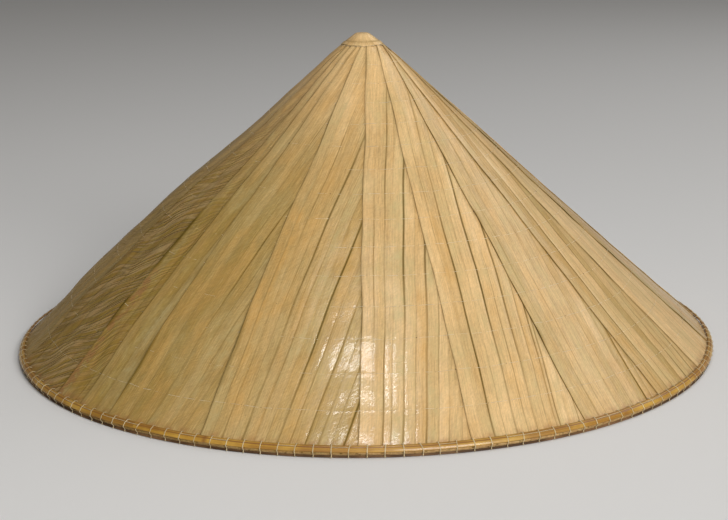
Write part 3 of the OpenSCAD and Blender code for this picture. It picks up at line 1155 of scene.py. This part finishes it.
def loops():
    """A loop of twisted cord inside the brim on each side, with a knot at each end."""
    piece = Piece()
    turn = np.linspace(math.pi + HALF_ANGLE - math.pi / 2, TURN + HALF_ANGLE - math.pi / 2, 25)
    for side in (1, -1):
        x = LOOP_X + LOOP_R * np.cos(turn)
        z = LOOP_Z + LOOP_R * np.sin(turn)
        path = np.stack([side * x, 0 * x, z], 1) * MM
        tube(piece, path, 0.58 * MM, 8, seed=side)
        for end, inward in ((path[0], path[1] - path[0]), (path[-1], path[-2] - path[-1])):
            knot(piece, end + inward * 1.1, 1.05 * MM, side)
    piece.finish("cord_loops", HAT, "cord", CORD, ["strap_loops"])


def knot(piece, centre, radius, seed, stretch=(1, 1, 1)):
    """A small knot: a ball with wound furrows."""
    rows, around = 9, 12
    up = np.linspace(0.06, math.pi - 0.06, rows)[:, None]
    turn = (np.arange(around) * TURN / around)[None]
    swell = radius * (1 + 0.14 * np.sin(3 * turn + 4 * up + seed))
    ball = np.stack([
        swell * np.sin(up) * np.cos(turn), swell * np.sin(up) * np.sin(turn), swell * np.cos(up) + 0 * turn
    ], -1)
    swept(piece, centre + ball * np.array(stretch), False, up[:, 0] * 3, turn[0], seed=seed)


def strap():
    """A satin ribbon, gathered and knotted round the cord loop at each end."""
    piece = Piece()
    start = math.asin(5.5 / LOOP_X)
    turn = np.linspace(start, math.pi - start, 260)[:, None]
    from_end = LOOP_X * np.minimum(turn - start, math.pi - start - turn)
    width = 3.4 + 6.6 * smooth((from_end - 3) / 16)
    gather = 1 - smooth((from_end - 2) / 15)
    loose = 1 - gather
    drift = 0.45 * np.sin(5.3 * turn + 1) + 0.3 * np.sin(13.7 * turn)
    around = np.linspace(0, TURN, 26, endpoint=False)
    across = np.clip(1.25 * np.cos(around), -1, 1)
    face = np.clip(2.2 * np.sin(around), -1, 1)
    z = across * width / 2
    fold = gather * 0.5 * np.sin(across * 7 + 1.0)
    ripple = 0.12 * np.sin(turn * 61 + across * 1.3)
    twist = 0.05 * np.sin(4.1 * turn) * z
    bulge = face * (0.24 + 0.25 * gather) + fold + loose * (ripple + twist + 0.5 * drift)
    r = LOOP_X - 0.4 + bulge
    rings = np.stack([r * np.cos(turn), r * np.sin(turn), STRAP_Z + z], -1) * MM
    tone = np.repeat(drift * 0.3, len(around))
    swept(piece, rings, False, turn * LOOP_X, across * 5, seed=5, tone=tone)
    angle = np.linspace(0, TURN, 28, endpoint=False)
    for side in (1, -1):
        eye = [0 * angle + side * LOOP_X, 2.35 * np.sin(angle), STRAP_Z + 2.35 * np.cos(angle)]
        tube(piece, np.stack(eye, 1) * MM, 0.72 * MM, 8, True, seed=side, tone=-0.4)
        middle = np.array([side * (LOOP_X - 0.2), 5.0, STRAP_Z]) * MM
        knot(piece, middle, 2.3 * MM, side, stretch=(0.75, 0.8, 1.0))
    piece.finish("ribbon", STRAP, "ribbon", RIBBON, ["chin_strap"])


# ---- the hat

leaf_layer(INNER_NODES, INNER_TOP + LAYER, 1.0, 8.0, "leaf_inner", INNER_LEAF, "inner_leaf", 4.0)
leaf_layer(OUTER_NODES, OUTER_TOP, 0.3, 6.5, "leaf_outer", OUTER_LEAF, "outer_leaf", 5.2)
outer_stitches(tree_of("leaf_outer"))
inner_stitches()
hoops()
rim_strip()
rim_hoop()
wraps()
cap()
loops()
strap()


# ---- stage, light and camera

AIM = Vector((-0.55, 0.0, 46.1)) * MM
FLOOR_HALF = 6000 * MM
FLOOR_Z = -0.1 * MM
PALE_GREY = (0.78, 0.78, 0.78)
CAMERA_ELEVATION = math.radians(14.12)
CAMERA_ROLL = math.radians(-0.69)
CAMERA_DISTANCE = 922 * MM
CAMERA_LENS = 76.46


def direction(azimuth, elevation):
    """Unit vector from the hat towards that azimuth and elevation."""
    level = math.cos(elevation)
    return Vector((math.sin(azimuth) * level, -math.cos(azimuth) * level, math.sin(elevation)))


def area_light(name, energy, size, azimuth_deg, elevation_deg, distance_mm, colour=(1, 1, 1)):
    """A rectangular lamp that looks at the hat from that direction."""
    data = bpy.data.lights.new(name, "AREA")
    data.shape = "RECTANGLE"
    data.size, data.size_y = size[0] * MM, size[1] * MM
    data.energy = energy
    data.color = colour
    lamp = new_object(name, data)
    way = direction(math.radians(azimuth_deg), math.radians(elevation_deg))
    lamp.location = AIM + way * distance_mm * MM
    lamp.rotation_euler = way.to_track_quat("Z", "Y").to_euler()


def pale_floor():
    corners = [(x * FLOOR_HALF, y * FLOOR_HALF, FLOOR_Z) for x, y in ((-1, -1), (1, -1), (1, 1), (-1, 1))]
    mesh = bpy.data.meshes.new("floor")
    mesh.from_pydata(corners, [], [(0, 1, 2, 3)])
    mesh.materials.append(Shader("floor").done(Base_Color=PALE_GREY, Roughness=0.9))
    new_object("floor", mesh)


def studio_world():
    """A faint warm fill light, with plain grey where the camera sees past the floor."""
    world = bpy.data.worlds.new("studio")
    bpy.context.scene.world = world
    world.use_nodes = True
    tree = world.node_tree
    lighting = tree.nodes["Background"]
    lighting.inputs["Color"].default_value = (1.0, 0.96, 0.90, 1)
    lighting.inputs["Strength"].default_value = 0.14
    seen = tree.nodes.new("ShaderNodeBackground")
    seen.inputs["Color"].default_value = (*PALE_GREY, 1)
    chosen = tree.nodes.new("ShaderNodeMixShader")
    camera_ray = tree.nodes.new("ShaderNodeLightPath").outputs["Is Camera Ray"]
    tree.links.new(camera_ray, chosen.inputs[0])
    tree.links.new(lighting.outputs[0], chosen.inputs[1])
    tree.links.new(seen.outputs[0], chosen.inputs[2])
    tree.links.new(chosen.outputs[0], tree.nodes["World Output"].inputs[0])


def front_camera():
    data = bpy.data.cameras.new("camera")
    data.sensor_width = 36
    data.lens = CAMERA_LENS
    camera = new_object("camera", data)
    view_from = direction(0, CAMERA_ELEVATION)
    camera.location = AIM + view_from * CAMERA_DISTANCE
    facing = view_from.to_track_quat("Z", "Y").to_matrix()
    camera.rotation_euler = (facing @ Euler((0, 0, CAMERA_ROLL)).to_matrix()).to_euler()
    bpy.context.scene.camera = camera


area_light("key", 122, (1750, 1460), 24, 25, 3800, (1.0, 0.98, 0.95))
area_light("side", 7, (1600, 1000), 120, 42, 2200)
area_light("window", 1.1, (270, 45), 0, 66.4, 1037)
area_light("glow", 0.8, (520, 300), 2, 69, 1045)
pale_floor()
studio_world()
front_camera()
bpy.context.scene.view_settings.view_transform = "Standard"


# ---- sizes


def plain(bounds):
    return [list(corner) for corner in bounds]
